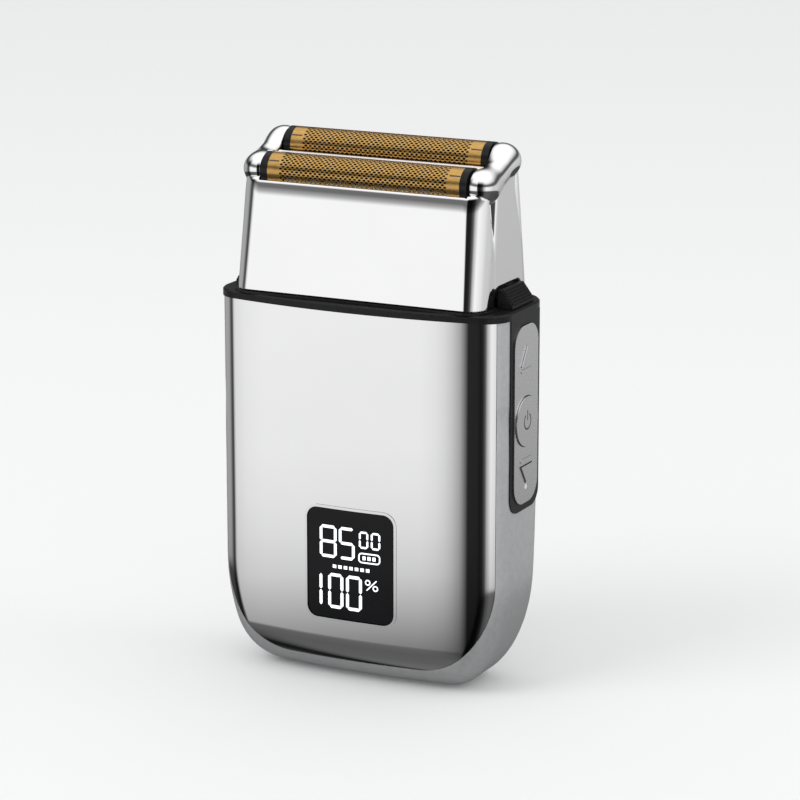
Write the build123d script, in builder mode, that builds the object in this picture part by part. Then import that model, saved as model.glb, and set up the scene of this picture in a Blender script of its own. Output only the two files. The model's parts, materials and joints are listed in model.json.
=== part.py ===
from build123d import *
import os
from math import cos, radians, sin, sqrt

# Two-foil electric shaver, standing upright on its flat base.
# Millimetres, +Z up, origin on the base under the middle of the body.
# The display looks along -Y and the buttons look along +X.

# ---------------------------------------------------------------- driving sizes
# Body
collar_width = 64.0          # widest plan size, at the black collar
collar_depth = 29.4          # plan depth on the centre line, at the collar
collar_proud = 0.25          # how far the collar stands outside the shells
shell_top = 77.2             # where the shells stop under the collar
collar_rim = 1.55            # visible height of the collar above the shells
seat_step = 0.45             # raised seat inside the rim, which carries the head
front_face_radius = 150.0    # gentle bow of the front and rear faces in plan
front_corner = 5.5           # plan radius of the two front corners
rear_corner = 7.0            # plan radius of the two rear corners
lower_corner_width = 13.2    # front view: how far each lower corner sweeps in
lower_corner_height = 23.0   # front view: height at which that sweep begins
toe_depth = 9.35             # side view: how far the front edge tucks under
toe_height = 9.0             # side view: height at which the tuck begins
heel_depth = 9.35            # side view: how far the back sweeps forward
heel_height = 60.0           # side view: height at which that sweep begins
wall = 1.6                   # shell wall
fit = 0.1                    # gap between fixed pieces that drop into each other
hair = 0.02                  # keeps a rounded end from closing to a full half circle
loft_steps = 16              # sections that the curved lower body is drawn through
loft_grading = 2.4           # packs those sections towards the foot

# Seam between the chrome shells and the side band, in front view
band_side = 1.35             # band thickness on the sides
band_bottom = 4.4            # band thickness at the bottom
seam_corner_width = 16.0
seam_corner_height = 19.0

# Collar tongues
tongue_width = 13.8
tongue_foot = 37.2           # lower end of the right tongue
left_tongue_foot = 57.5
tongue_corner = 3.5
collar_plug = 3.0            # depth of the collar inside the shells
well_half_width = 23.0
well_half_depth = 8.6
well_floor = 75.4
well_corner = 3.0
rim_chamfer = 0.3
seat_margin_width = 1.4      # the seat is this much wider than the head in all
seat_margin_depth = 0.9

# Display
display_width = 19.6
display_height = 23.2
display_corner = 2.4
display_foot = 13.3
bezel_rim = 0.55
bezel_proud = 0.12
window_recess = 0.12
window_thickness = 1.4
window_gap = 0.15            # between the window and its bezel, all round
module_margin = 0.5          # the display module is this much smaller than the window, each side
module_gap = 0.5             # behind the bowed window
module_thickness = 2.7

# Boards and chassis
board_thickness = 1.2
board_half_width = 25.0
board_foot = 12.0
board_head = 66.0
board_corner = 3.0
board_hole_radius = 1.1
board_holes = ((-22, 62), (22, 62), (-22, 24), (22, 24))
chip_height = 1.1
chips = ((-10, 50, 7, 7), (8, 52, 5, 4), (6, 44, 3, 3), (-14, 40, 3, 6), (14, 40, 4, 3))
chassis_gap = 0.4            # between the main board and the chassis plate
chassis_plate = 1.5
chassis_deck = 3.6           # thickness of the deck that carries the motor
deck_clearance = 0.3         # between the deck and the collar's plug
deck_margin = 2.8            # between the deck and the bowed walls in front of and behind it
deck_corner = 4.0
saddle_height = 3.0
battery_saddles = (26, 57)   # foot of each saddle that holds the battery
motor_saddles = (46, 62)
saddle_margin = 1.5          # how far a saddle reaches beyond what it holds
screw_radius = 0.8
screw_gap = 0.15
screw_head_radius = 1.7
screw_head_height = 1.1
screw_slot = 0.5
screw_length = 4.0
deck_screw_spots = ((-18, -5), (18, -5), (-18, 5), (18, 5))
motor_screw_offset = 6.0
motor_screw_sink = 1.6
motor_screw_head = 1.5
motor_screw_head_height = 1.2

# Button panel and keys
panel_width = 11.3
panel_foot = 38.7
panel_head = 75.2
panel_corner = 4.2
panel_thickness = 0.9
panel_proud = 0.3
power_z = 55.5
power_diameter = 10.2
speed_up_z = 69.0
speed_down_z = 44.6
speed_key_width = 5.4
speed_key_height = 3.8
speed_mark_gap = 1.1         # from a speed key to the bar beside it
speed_mark_height = 0.7
speed_mark_proud = 0.12
indicator_z = 42.0           # the small light below the lower speed key
indicator_diameter = 1.2
key_gap = 0.15               # around each moving key
key_proud = 0.3
key_travel = 0.4
stem_diameter = 2.4
speed_stem_diameter = 1.2
key_stem = 0.8               # length of a key's stem behind its cap
switch_gap = 0.15            # from a pressed key's stem to its switch
switch_width = 4.2
switch_height = 3.2
switch_dome_radius = 1.0
switch_dome = 0.3
key_board_margin = 3.0
key_inner = 29.4             # inner face of a key's cap
key_board_face = 26.8

# Springs: coil radius, wire diameter and turns
bridge_coil = (1.2, 0.3, 5)
cutter_coil = (2.05, 0.4, 4)
foil_coil = (1.1, 0.3, 5)
release_coil = (0.6, 0.22, 8)
spring_gap = 0.12            # at each end of a spring

# Drive
motor_y = 2.6
motor_diameter = 18.0
motor_length = 27.0
motor_top = 70.0
motor_wall = 1.0
motor_edge = 1.0             # rounding of the can's top edge
motor_roof = 1.6             # thickness of the can's closed top
motor_cap_height = 3.0
bush_radius = 2.6
bush_length = 2.4
terminal_offset = 5.0
terminal_width = 2.4
terminal_thickness = 0.5
terminal_length = 2.2
shaft_diameter = 2.0
shaft_fit = 0.04             # running clearance on the shaft, radial
armature_diameter = 11.6
magnet_thickness = 1.6
magnet_end_gap = 1.0
armature_end_gap = 2.5
armature_slot_width = 1.0
armature_slot_depth = 2.0
eccentric_diameter = 8.0
eccentric_height = 2.0
eccentric_throw = 1.2
eccentric_lift = 0.5         # above the collar's well
eccentric_gap = 0.5          # between the eccentric and its hole in the collar
seal_radius = 4.0
seal_thickness = 1.6
seal_fit = 0.2               # between the seal's lip and the shaft
pin_diameter = 2.4
pin_top = 84.6
bridge_stroke = 1.2          # each way along X

# Battery
battery_diameter = 14.0
battery_length = 50.0
battery_x = -19.0
battery_y = 1.5
battery_foot = 19.0
battery_edge = 0.6
battery_cap_radius = 2.6
battery_cap_height = 1.0

# Head
head_width = 55.4
head_depth = 25.0
head_corner = 4.2
head_top_width = 55.0
head_top_corner = 5.0
head_wall = 0.9
head_gap = 0.1               # between the head and its seat
head_cant = 20.4             # degrees, the foil plane leans towards the display side
head_axis_z = 104.85         # height of the foil plane on the centre line
head_top_depth = 19.9        # along the canted top
head_plate = 1.6             # thickness of the head's top plate
lobe_radius = 3.7            # rounded shoulders beyond the foil ends
lobe_x = 24.1
saddle_radius = 2.7          # the lower roll that joins the two lobes of one side
notch_y = 1.0
notch_width = 12.4
notch_height = 3.7
notch_corner = 2.0

# Foils and cutters
foil_pitch = 10.62
foil_radius = 3.64
foil_thickness = 0.2
foil_length = 42.54
foil_drop = 3.4              # the foil's legs and rails reach this far below its axis
foil_gap = 0.3               # around each floating foil
foil_end_gap = 0.15          # beyond each end cap
foil_cap = 1.53              # length of each black end cap
cap_drop = 5.0               # the caps reach this far below the foil axis
rail_height = 1.0
rail_width = 0.7
foil_float = 1.0
divider_width = 1.8
divider_height = 1.2
divider_edge = 0.6
blade_gap = 0.12             # between a blade's edge and the foil
blade_thickness = 0.5
blade_pitch = 1.5
blade_count = 25
spine_width = 2.0
spine_rise = 0.8
carrier_width = 4.4
carrier_height = 2.4
carrier_drop = 1.2           # the carrier's top is this far below the foil axis
post_diameter = 3.0
post_fit = 0.05
post_root = 0.9              # sunk into the bridge, clear of the rods below
post_headroom = 0.3          # left above a post when its cutter is pressed right down
carrier_roof = 0.8
carrier_corner = 1.0
socket_diameter = 5.2
socket_length = 5.0          # sleeve below each cutter carrier
bridge_bottom = 87.0
bridge_thickness = 3.6
bridge_half_width = 16.0
bridge_half_depth = 8.0
bridge_corner = 2.0
bridge_slot_inset = 7.0      # the lightening slot stops this far from each end
bridge_slot_width = 2.0
fork_gap = 0.2               # between the pin's path and the fork
fork_wall = 1.2
fork_bottom = 82.15
fork_headroom = 0.6          # above the pin
rod_diameter = 1.5
rod_y = 6.2
rod_fit = 0.05
rod_half_length = 22.6
crossbar_x = 20.0
crossbar_width = 3.6
ring_height = 3.4            # foot ring of the head's inner chassis
ring_wall = 1.6
ring_corner = 2.0

# Release buttons
release_width = 10.4
release_reach = 31.0
release_top = 82.5
release_inner = 27.75
release_travel = 1.0
release_gap = 0.25
release_stem_width = 6.0
release_stem_depth = 0.9
release_lift = 0.1           # above the collar's rim
release_lip = 0.5            # upright edge at the foot of the sloped face
release_crest = 0.9          # flat top of the button

# Charging socket
socket_width = 8.94
socket_height = 3.26
socket_wall = 0.3
socket_recess = 0.5
socket_depth = 7.4
socket_back = 0.6            # closed end of the socket's shell
socket_tongue_width = 6.7
socket_tongue_thickness = 0.7
socket_tongue_inset = 0.7
charge_board_width = 20.0
charge_board_depth = 11.0

# ---------------------------------------------------------------- derived places
shell_width = collar_width - 2 * collar_proud
shell_half_depth = collar_depth / 2 - collar_proud
rim_top = shell_top + collar_rim
seat_top = rim_top + seat_step
head_base = seat_top + head_gap
release_foot = rim_top + release_lift
tongue_face = collar_width / 2
seam_half_width = shell_width / 2 - band_side
cavity_half_width = seam_half_width - wall
foil_plane = Plane(
    origin=(0, 0, head_axis_z),
    x_dir=(1, 0, 0),
    z_dir=(0, -sin(radians(head_cant)), cos(radians(head_cant))),
)
foil_y = foil_pitch / 2 * cos(radians(head_cant))
foil_rise = foil_pitch / 2 * sin(radians(head_cant))
foil_half = foil_radius * cos(radians(head_cant))
opening_half_length = foil_length / 2 + foil_cap + foil_end_gap
display_middle = display_foot + display_height / 2
panel_middle = (panel_foot + panel_head) / 2
panel_height = panel_head - panel_foot
module_front = shell_half_depth - window_recess - window_thickness - module_gap
board_front = module_front - module_thickness - fit
chassis_front = board_front - board_thickness - chassis_gap
chassis_head = shell_top - collar_plug - deck_clearance
motor_foot = motor_top - motor_length
motor_bore = motor_diameter / 2 - motor_wall
eccentric_foot = well_floor + eccentric_lift
panel_face = tongue_face + panel_proud
panel_back = panel_face - panel_thickness
switch_face = key_inner - key_stem - key_travel - switch_gap
carrier_sleeve = socket_length - carrier_height
bridge_top = bridge_bottom + bridge_thickness
rod_z = bridge_bottom + bridge_thickness / 2
sides = (-1, 1)
foils = {"front": -1, "rear": 1}


os.makedirs("parts", exist_ok=True)


def keep(piece, label):
    """Label a finished sub-part and export it."""
    piece.part.label = label
    export_step(piece.part, "parts/" + label + ".step")


# ---------------------------------------------------------------- shared forms
def quarter_step(depth, height, level):
    """Inward step of a quarter ellipse: its full depth at level 0, nothing at its height."""
    rise = max(height - level, 0) / height
    return depth * (1 - sqrt(1 - rise**2))


def corner_centre(face, radius, half_width):
    """How far from the middle line a corner circle sits that touches a bowed face and a side."""
    return face - front_face_radius + sqrt(
        (front_face_radius - radius) ** 2 - (half_width - radius) ** 2
    )


def body_section(level, inset):
    """Plan outline of the body at one level, set in from the outer skin."""
    half_width = shell_width / 2 - quarter_step(lower_corner_width, lower_corner_height, level)
    front = shell_half_depth - quarter_step(toe_depth, toe_height, level)
    rear = shell_half_depth - quarter_step(heel_depth, heel_height, level)
    front_radius = front_corner * front / shell_half_depth
    rear_radius = rear_corner * rear / shell_half_depth
    front_centre = corner_centre(front, front_radius, half_width)
    rear_centre = corner_centre(rear, rear_radius, half_width)
    with BuildSketch(Plane.XY.offset(level)) as section:
        with BuildLine():
            for face, radius, centre, way in (
                (front, front_radius, front_centre, -1),
                (rear, rear_radius, rear_centre, 1),
            ):
                middle = half_width - radius
                reach = front_face_radius - inset
                lean = middle / (front_face_radius - radius)
                touch_x = reach * lean
                touch_y = face - front_face_radius + reach * sqrt(1 - lean**2)
                tight = radius - inset
                bend = sqrt((1 + lean) / 2)
                rise = sqrt((1 - lean) / 2)
                ThreePointArc(
                    (-touch_x, way * touch_y), (0, way * (face - inset)), (touch_x, way * touch_y)
                )
                for side in sides:
                    ThreePointArc(
                        (side * touch_x, way * touch_y),
                        (side * (middle + tight * bend), way * (centre + tight * rise)),
                        (side * (half_width - inset), way * centre),
                    )
            for side in sides:
                Line(
                    (side * (half_width - inset), -front_centre),
                    (side * (half_width - inset), rear_centre),
                )
        make_face()
    return section.sketch.face()


def body_solid(inset, foot):
    """The body's outer form set in by a wall: lofted where it curves, straight above that."""
    levels = [heel_height * (step / loft_steps) ** loft_grading for step in range(loft_steps + 1)]
    with BuildPart(mode=Mode.PRIVATE) as form:
        loft([body_section(level, inset) for level in levels if level >= foot])
        extrude(body_section(heel_height, inset), amount=shell_top - heel_height)
    return form.part


def seam_outline(inset, top):
    """Front view outline that separates the shells from the side band."""
    half_width = seam_half_width - inset
    foot = band_bottom + inset
    across = seam_corner_width - inset
    up = seam_corner_height - inset
    with BuildSketch(Plane.XZ) as outline:
        with BuildLine():
            Line((-half_width + across, foot), (half_width - across, foot))
            EllipticalCenterArc(
                (half_width - across, foot + up), across, up, start_angle=270, arc_size=90
            )
            Line((half_width, foot + up), (half_width, top))
            Line((half_width, top), (-half_width, top))
            Line((-half_width, top), (-half_width, foot + up))
            EllipticalCenterArc(
                (-half_width + across, foot + up), across, up, start_angle=180, arc_size=90
            )
        make_face()
    return outline.sketch.face()


def side_slot(middle, height, width, corner, inner, outer, side=1):
    """A rounded block that points along X, for tongues, pockets and holes in the sides."""
    with BuildPart(mode=Mode.PRIVATE) as block:
        with BuildSketch(Plane.YZ.offset(side * inner)):
            with Locations((0, middle)):
                RectangleRounded(width, height, corner)
        extrude(amount=side * (outer - inner))
    return block.part


def bowed_plate(width, height, corner, front, back):
    """A rounded plate behind the front face that follows its bow."""
    half = width / 2 + 1
    sag = front_face_radius - sqrt(front_face_radius**2 - half**2)
    with BuildPart(mode=Mode.PRIVATE) as plate:
        with BuildSketch(Plane.XY.offset(display_middle - height / 2 - 1)):
            with BuildLine():
                ThreePointArc((-half, sag - front), (0, -front), (half, sag - front))
                Line((half, sag - front), (half, sag - back))
                ThreePointArc((half, sag - back), (0, -back), (-half, sag - back))
                Line((-half, sag - back), (-half, sag - front))
            make_face()
        extrude(amount=height + 2)
        with BuildSketch(Plane.XZ):
            with Locations((0, display_middle)):
                RectangleRounded(width, height, corner)
        extrude(amount=collar_depth, both=True, mode=Mode.INTERSECT)
    return plate.part


def coil(radius, wire, turns, foot, length, plane):
    """A helical spring that stands on a plane at a given height."""
    height = length - wire
    with BuildPart(mode=Mode.PRIVATE) as spring:
        with BuildLine() as path:
            Helix(pitch=height / turns, height=height, radius=radius)
        with BuildSketch(Plane(origin=path.line @ 0, z_dir=path.line % 0)):
            Circle(wire / 2)
        sweep(is_frenet=True)
    return spring.part.moved(plane.offset(foot + wire / 2).location)


# ---------------------------------------------------------------- body shells
with BuildPart() as body_form:
    add(body_solid(0, 0))

with BuildPart() as cavity_form:
    add(body_solid(wall, band_bottom))
    extrude(seam_outline(wall, shell_top + wall), amount=collar_depth, both=True, mode=Mode.INTERSECT)

with BuildPart() as side_band:
    add(body_form.part)
    extrude(seam_outline(0, shell_top + wall), amount=collar_depth, both=True, mode=Mode.SUBTRACT)
    for side, foot in ((1, tongue_foot), (-1, left_tongue_foot)):
        height = shell_top - foot + 2 * tongue_corner
        add(
            side_slot(
                foot + height / 2, height, tongue_width + fit, tongue_corner,
                seam_half_width - 1, collar_width, side,
            ),
            mode=Mode.SUBTRACT,
        )
    with BuildSketch(Plane.XY):
        RectangleRounded(socket_width + 2 * fit, socket_height + 2 * fit, socket_height / 2)
    extrude(amount=band_bottom + wall, mode=Mode.SUBTRACT)
keep(side_band, "side_band")


def shell(way):
    """One chrome shell, front for way -1 and rear for way 1, meeting on the middle plane."""
    with BuildPart(mode=Mode.PRIVATE) as half:
        extrude(seam_outline(0, shell_top), amount=-way * collar_depth)
        add(body_form.part, mode=Mode.INTERSECT)
        add(cavity_form.part, mode=Mode.SUBTRACT)
        with BuildSketch(Plane.XY):
            RectangleRounded(socket_width + 2 * fit, socket_height + 2 * fit, socket_height / 2)
        extrude(amount=band_bottom + 2 * wall, mode=Mode.SUBTRACT)
        add(key_windows, mode=Mode.SUBTRACT)
    return half.part


with BuildPart() as key_window_form:
    add(
        side_slot(
            panel_middle, panel_height - panel_corner, panel_width, panel_corner / 3,
            cavity_half_width - 1, seam_half_width + 1,
        )
    )
key_windows = key_window_form.part

with BuildPart() as front_shell:
    add(shell(-1))
    add(
        bowed_plate(
            display_width + 2 * bezel_rim + 2 * fit, display_height + 2 * bezel_rim + 2 * fit,
            display_corner + bezel_rim + fit, shell_half_depth + 1, shell_half_depth - 2 * wall,
        ),
        mode=Mode.SUBTRACT,
    )
keep(front_shell, "front_shell")

with BuildPart() as rear_shell:
    add(shell(1))
keep(rear_shell, "rear_shell")

# ---------------------------------------------------------------- collar with its tongues
with BuildPart() as top_collar:
    extrude(body_section(shell_top, -collar_proud), amount=collar_rim)
    chamfer(top_collar.faces().sort_by(Axis.Z)[-1].outer_wire().edges(), rim_chamfer)
    with BuildSketch(Plane.XY.offset(rim_top)):
        RectangleRounded(
            head_width + seat_margin_width, head_depth + seat_margin_depth,
            head_corner + seat_margin_width / 2,
        )
    extrude(amount=seat_step)
    with BuildPart(mode=Mode.PRIVATE) as plug:
        extrude(body_section(shell_top, wall + fit), amount=-collar_plug)
        extrude(seam_outline(wall + fit, shell_top), amount=collar_depth, both=True, mode=Mode.INTERSECT)
    add(plug.part)
    with BuildSketch(Plane.XY.offset(well_floor)):
        with Locations((0, motor_y / 2)):
            RectangleRounded(2 * well_half_width, 2 * well_half_depth, well_corner)
    extrude(amount=seat_top - well_floor + 1, mode=Mode.SUBTRACT)
    for side, foot in ((1, tongue_foot), (-1, left_tongue_foot)):
        height = shell_top - foot + 2 * tongue_corner
        tongue = side_slot(
            foot + height / 2, height, tongue_width, tongue_corner, seam_half_width, tongue_face, side
        )
        cut = Plane.XY.offset(shell_top + fit)
        add(split(tongue, bisect_by=cut, keep=Keep.BOTTOM, mode=Mode.PRIVATE))
    add(
        side_slot(
            panel_middle, panel_height + 2 * fit, panel_width + 2 * fit, panel_corner + fit,
            tongue_face + panel_proud - panel_thickness, collar_width,
        ),
        mode=Mode.SUBTRACT,
    )
    for side in sides:
        inner = release_inner - release_travel - release_gap
        outer = release_inner + release_stem_depth + release_gap
        with BuildSketch(Plane.XY.offset(well_floor)):
            with Locations((side * (inner + outer) / 2, notch_y)):
                Rectangle(outer - inner, release_stem_width + 2 * release_gap)
        extrude(amount=seat_top - well_floor, mode=Mode.SUBTRACT)
        with BuildSketch(Plane.XY.offset(rim_top)):
            with Locations((side * (inner + release_reach + 1) / 2, notch_y)):
                Rectangle(release_reach + 1 - inner, notch_width)
        extrude(amount=2 * seat_step, mode=Mode.SUBTRACT)
        with BuildSketch(Plane.YZ.offset(side * well_half_width)):
            with Locations((notch_y, (well_floor + shell_top) / 2)):
                Circle(release_coil[0] + release_coil[1])
        extrude(amount=side * (inner - well_half_width), mode=Mode.SUBTRACT)
    with Locations((0, motor_y, well_floor)):
        Hole(radius=eccentric_diameter / 2 + eccentric_gap, depth=well_floor - shell_top + 2 * collar_plug)
    with Locations(*[(x, y, well_floor) for x, y in deck_screw_spots]):
        Hole(radius=screw_radius + screw_gap, depth=collar_plug)


def key_face(height_at):
    """Plane that looks out of the button side, at one height."""
    return Plane(origin=(0, 0, height_at), x_dir=(0, 1, 0), z_dir=(1, 0, 0))


key_heights = {"power": power_z, "speed_up": speed_up_z, "speed_down": speed_down_z}


def key_form(name, grow, inner, outer):
    """A key's prism from one X to another."""
    plane = key_face(key_heights[name]).offset(inner)
    with BuildPart(mode=Mode.PRIVATE) as prism:
        with BuildSketch(plane):
            if name == "power":
                Circle(power_diameter / 2 + grow)
            else:
                half = speed_key_width / 2
                low = (1 if name == "speed_down" else -1) * speed_key_height / 2
                with BuildLine():
                    Polyline((-half, low), (half, low), (0, -low), close=True)
                make_face()
                offset(amount=grow, kind=Kind.INTERSECTION)
        extrude(amount=outer - inner)
    return prism.part


with BuildPart() as collar_with_holes:
    add(top_collar.part)
    for name in key_heights:
        add(key_form(name, key_gap, seam_half_width - 1, collar_width), mode=Mode.SUBTRACT)
keep(collar_with_holes, "top_collar")

# ---------------------------------------------------------------- display
with BuildPart() as display_bezel:
    front = shell_half_depth + bezel_proud
    back = shell_half_depth - window_recess - window_thickness
    outer_width = display_width + 2 * bezel_rim
    outer_height = display_height + 2 * bezel_rim
    add(bowed_plate(outer_width, outer_height, display_corner + bezel_rim, front, back))
    add(
        bowed_plate(display_width, display_height, display_corner, front + 1, back - 1),
        mode=Mode.SUBTRACT,
    )
keep(display_bezel, "display_bezel")

with BuildPart() as display_window:
    front = shell_half_depth - window_recess
    back = front - window_thickness
    window_width = display_width - 2 * window_gap
    window_height = display_height - 2 * window_gap
    add(bowed_plate(window_width, window_height, display_corner - window_gap, front, back))
keep(display_window, "display_window")

with BuildPart() as display_module:
    with BuildSketch(Plane.XZ.offset(module_front)):
        with Locations((0, display_middle)):
            RectangleRounded(
                display_width - 2 * module_margin, display_height - 2 * module_margin,
                display_corner - module_margin,
            )
    extrude(amount=-module_thickness)
keep(display_module, "display_module")

# ---------------------------------------------------------------- boards, battery, chassis
with BuildPart() as main_board:
    with BuildSketch(Plane.XZ.offset(board_front)):
        with Locations((0, (board_foot + board_head) / 2)):
            RectangleRounded(2 * board_half_width, board_head - board_foot, board_corner)
        with Locations(*board_holes):
            Circle(board_hole_radius, mode=Mode.SUBTRACT)
    extrude(amount=-board_thickness)
keep(main_board, "main_board")

with BuildPart() as board_chips:
    for x, z, width, height in chips:
        with BuildSketch(Plane.XZ.offset(board_front)):
            with Locations((x, z)):
                Rectangle(width, height)
        extrude(amount=chip_height)
keep(board_chips, "board_chips")

with BuildPart() as battery:
    with BuildSketch(Plane.XY.offset(battery_foot)):
        with Locations((battery_x, battery_y)):
            Circle(battery_diameter / 2)
    extrude(amount=battery_length - battery_cap_height)
    fillet(battery.edges().filter_by(GeomType.CIRCLE), battery_edge)
    with BuildSketch(Plane.XY.offset(battery_foot + battery_length - battery_cap_height)):
        with Locations((battery_x, battery_y)):
            Circle(battery_cap_radius)
    extrude(amount=battery_cap_height)
keep(battery, "battery")

with BuildPart() as chassis:
    with BuildSketch(Plane.XZ.offset(chassis_front)):
        with Locations((0, (board_foot + chassis_head) / 2)):
            Rectangle(2 * board_half_width, chassis_head - board_foot)
    extrude(amount=-chassis_plate)
    with BuildSketch(Plane.XY.offset(chassis_head)):
        RectangleRounded(
            2 * (cavity_half_width - 5 * fit), 2 * (shell_half_depth - wall - deck_margin), deck_corner
        )
    extrude(amount=-chassis_deck)
    for x, y, diameter, levels in (
        (battery_x, battery_y, battery_diameter, battery_saddles),
        (0, motor_y, motor_diameter, motor_saddles),
    ):
        for level in levels:
            with BuildSketch(Plane.XY.offset(level)):
                with Locations((x, (y - chassis_front) / 2)):
                    Rectangle(diameter + 2 * saddle_margin, y + chassis_front)
            extrude(amount=saddle_height)
    with BuildSketch(Plane.XY):
        with Locations((battery_x, battery_y)):
            Circle(battery_diameter / 2 + fit)
        with Locations((0, motor_y)):
            Circle(motor_diameter / 2 + fit)
    extrude(amount=motor_top + fit, mode=Mode.SUBTRACT)
    with BuildSketch(Plane.XY.offset(chassis_head)):
        with Locations((key_board_face, 0)):
            Rectangle(4 * board_thickness, panel_width)
    extrude(amount=-chassis_deck, mode=Mode.SUBTRACT)
    with Locations((0, motor_y, chassis_head)):
        Hole(radius=seal_radius, depth=2 * chassis_deck)
    with Locations(*[(x, y, chassis_head) for x, y in deck_screw_spots]):
        Hole(radius=screw_radius, depth=chassis_deck)
    with Locations(*[(side * motor_screw_offset, motor_y, chassis_head) for side in sides]):
        CounterBoreHole(
            radius=screw_radius + fit, counter_bore_radius=screw_head_radius + fit,
            counter_bore_depth=motor_screw_sink, depth=2 * chassis_deck,
        )
keep(chassis, "chassis")

with BuildPart() as deck_screws:
    for x, y in deck_screw_spots:
        with BuildSketch(Plane.XY.offset(well_floor)):
            with Locations((x, y)):
                Circle(screw_head_radius)
        extrude(amount=screw_head_height)
        with BuildSketch(Plane.XY.offset(well_floor)):
            with Locations((x, y)):
                Circle(screw_radius)
        extrude(amount=-screw_length)
        with BuildSketch(Plane.XY.offset(well_floor + screw_head_height)):
            with Locations((x, y)):
                Rectangle(1.3 * screw_head_radius, screw_slot)
                Rectangle(screw_slot, 1.3 * screw_head_radius)
        extrude(amount=-screw_head_height / 2, mode=Mode.SUBTRACT)
keep(deck_screws, "deck_screws")

# ---------------------------------------------------------------- motor
with BuildPart() as motor_can:
    with BuildSketch(Plane.XY.offset(motor_foot + motor_cap_height)):
        with Locations((0, motor_y)):
            Circle(motor_diameter / 2)
    extrude(amount=motor_length - motor_cap_height)
    fillet(motor_can.edges().group_by(Axis.Z)[-1], motor_edge)
    with BuildSketch(Plane.XY.offset(motor_foot + motor_cap_height)):
        with Locations((0, motor_y)):
            Circle(motor_bore)
    extrude(amount=motor_length - motor_cap_height - motor_roof, mode=Mode.SUBTRACT)
    with Locations((0, motor_y, motor_top)):
        Hole(radius=bush_radius, depth=2 * motor_roof)
    with Locations(*[(side * motor_screw_offset, motor_y, motor_top) for side in sides]):
        Hole(radius=screw_radius, depth=motor_roof + fit)
keep(motor_can, "motor_can")

with BuildPart() as motor_cap:
    with BuildSketch(Plane.XY.offset(motor_foot)):
        with Locations((0, motor_y)):
            Circle(motor_diameter / 2)
    extrude(amount=motor_cap_height)
    with BuildSketch(Plane.XY.offset(motor_foot + motor_cap_height)):
        with Locations((0, motor_y)):
            Circle(bush_radius + motor_wall)
            Circle(bush_radius, mode=Mode.SUBTRACT)
    extrude(amount=-motor_cap_height / 2, mode=Mode.SUBTRACT)
    with Locations((0, motor_y, motor_foot + motor_cap_height)):
        Hole(radius=bush_radius, depth=bush_length)
    with BuildSketch(Plane.XY.offset(motor_foot)):
        with Locations((-terminal_offset, motor_y), (terminal_offset, motor_y)):
            Rectangle(terminal_thickness, terminal_width)
    extrude(amount=-terminal_length)
keep(motor_cap, "motor_cap")

with BuildPart() as motor_bushes:
    for level in (motor_foot + motor_cap_height - bush_length, motor_top - bush_length):
        with BuildSketch(Plane.XY.offset(level)):
            with Locations((0, motor_y)):
                Circle(bush_radius)
                Circle(shaft_diameter / 2 + shaft_fit, mode=Mode.SUBTRACT)
        extrude(amount=bush_length)
keep(motor_bushes, "motor_bushes")

with BuildPart() as motor_magnets:
    with BuildSketch(Plane.XY.offset(motor_foot + motor_cap_height + magnet_end_gap)):
        with Locations((0, motor_y)):
            Circle(motor_bore)
            Circle(motor_bore - magnet_thickness, mode=Mode.SUBTRACT)
            Rectangle(magnet_thickness, motor_diameter, mode=Mode.SUBTRACT)
    extrude(amount=motor_length - motor_cap_height - motor_roof - 2 * magnet_end_gap)
keep(motor_magnets, "motor_magnets")

with BuildPart() as motor_screws:
    for side in sides:
        with BuildSketch(Plane.XY.offset(chassis_head - motor_screw_sink)):
            with Locations((side * motor_screw_offset, motor_y)):
                Circle(motor_screw_head)
        extrude(amount=motor_screw_head_height)
        with BuildSketch(Plane.XY.offset(chassis_head - motor_screw_sink)):
            with Locations((side * motor_screw_offset, motor_y)):
                Circle(screw_radius - fit / 2)
        extrude(amount=motor_top - motor_roof + fit - chassis_head + motor_screw_sink)
keep(motor_screws, "motor_screws")

with BuildPart() as rotor_shaft:
    shaft_foot = motor_foot + motor_cap_height - bush_length + fit
    with BuildSketch(Plane.XY.offset(shaft_foot)):
        with Locations((0, motor_y)):
            Circle(shaft_diameter / 2)
    extrude(amount=eccentric_foot + eccentric_height - shaft_foot)
keep(rotor_shaft, "rotor_shaft")

with BuildPart() as rotor_armature:
    with BuildSketch(Plane.XY.offset(motor_foot + motor_cap_height + armature_end_gap)):
        with Locations((0, motor_y)):
            Circle(armature_diameter / 2)
            Circle(shaft_diameter / 2, mode=Mode.SUBTRACT)
            with PolarLocations(armature_diameter / 2, 3):
                Rectangle(2 * armature_slot_depth, armature_slot_width, mode=Mode.SUBTRACT)
    extrude(amount=motor_length - motor_cap_height - motor_roof - 2 * armature_end_gap)
keep(rotor_armature, "rotor_armature")

with BuildPart() as eccentric:
    with BuildSketch(Plane.XY.offset(eccentric_foot)):
        with Locations((0, motor_y)):
            Circle(eccentric_diameter / 2)
    extrude(amount=eccentric_height)
    with Locations((0, motor_y, eccentric_foot + eccentric_height)):
        Hole(radius=shaft_diameter / 2, depth=eccentric_height)
    with BuildSketch(Plane.XY.offset(eccentric_foot + eccentric_height)):
        with Locations((eccentric_throw, motor_y)):
            Circle(pin_diameter / 2)
    extrude(amount=pin_top - eccentric_foot - eccentric_height)
keep(eccentric, "eccentric")

with BuildPart() as shaft_seal:
    with BuildSketch(Plane.XY.offset(chassis_head - seal_thickness)):
        with Locations((0, motor_y)):
            Circle(seal_radius)
            Circle(shaft_diameter / 2 + seal_fit, mode=Mode.SUBTRACT)
    extrude(amount=seal_thickness)
keep(shaft_seal, "shaft_seal")

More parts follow.
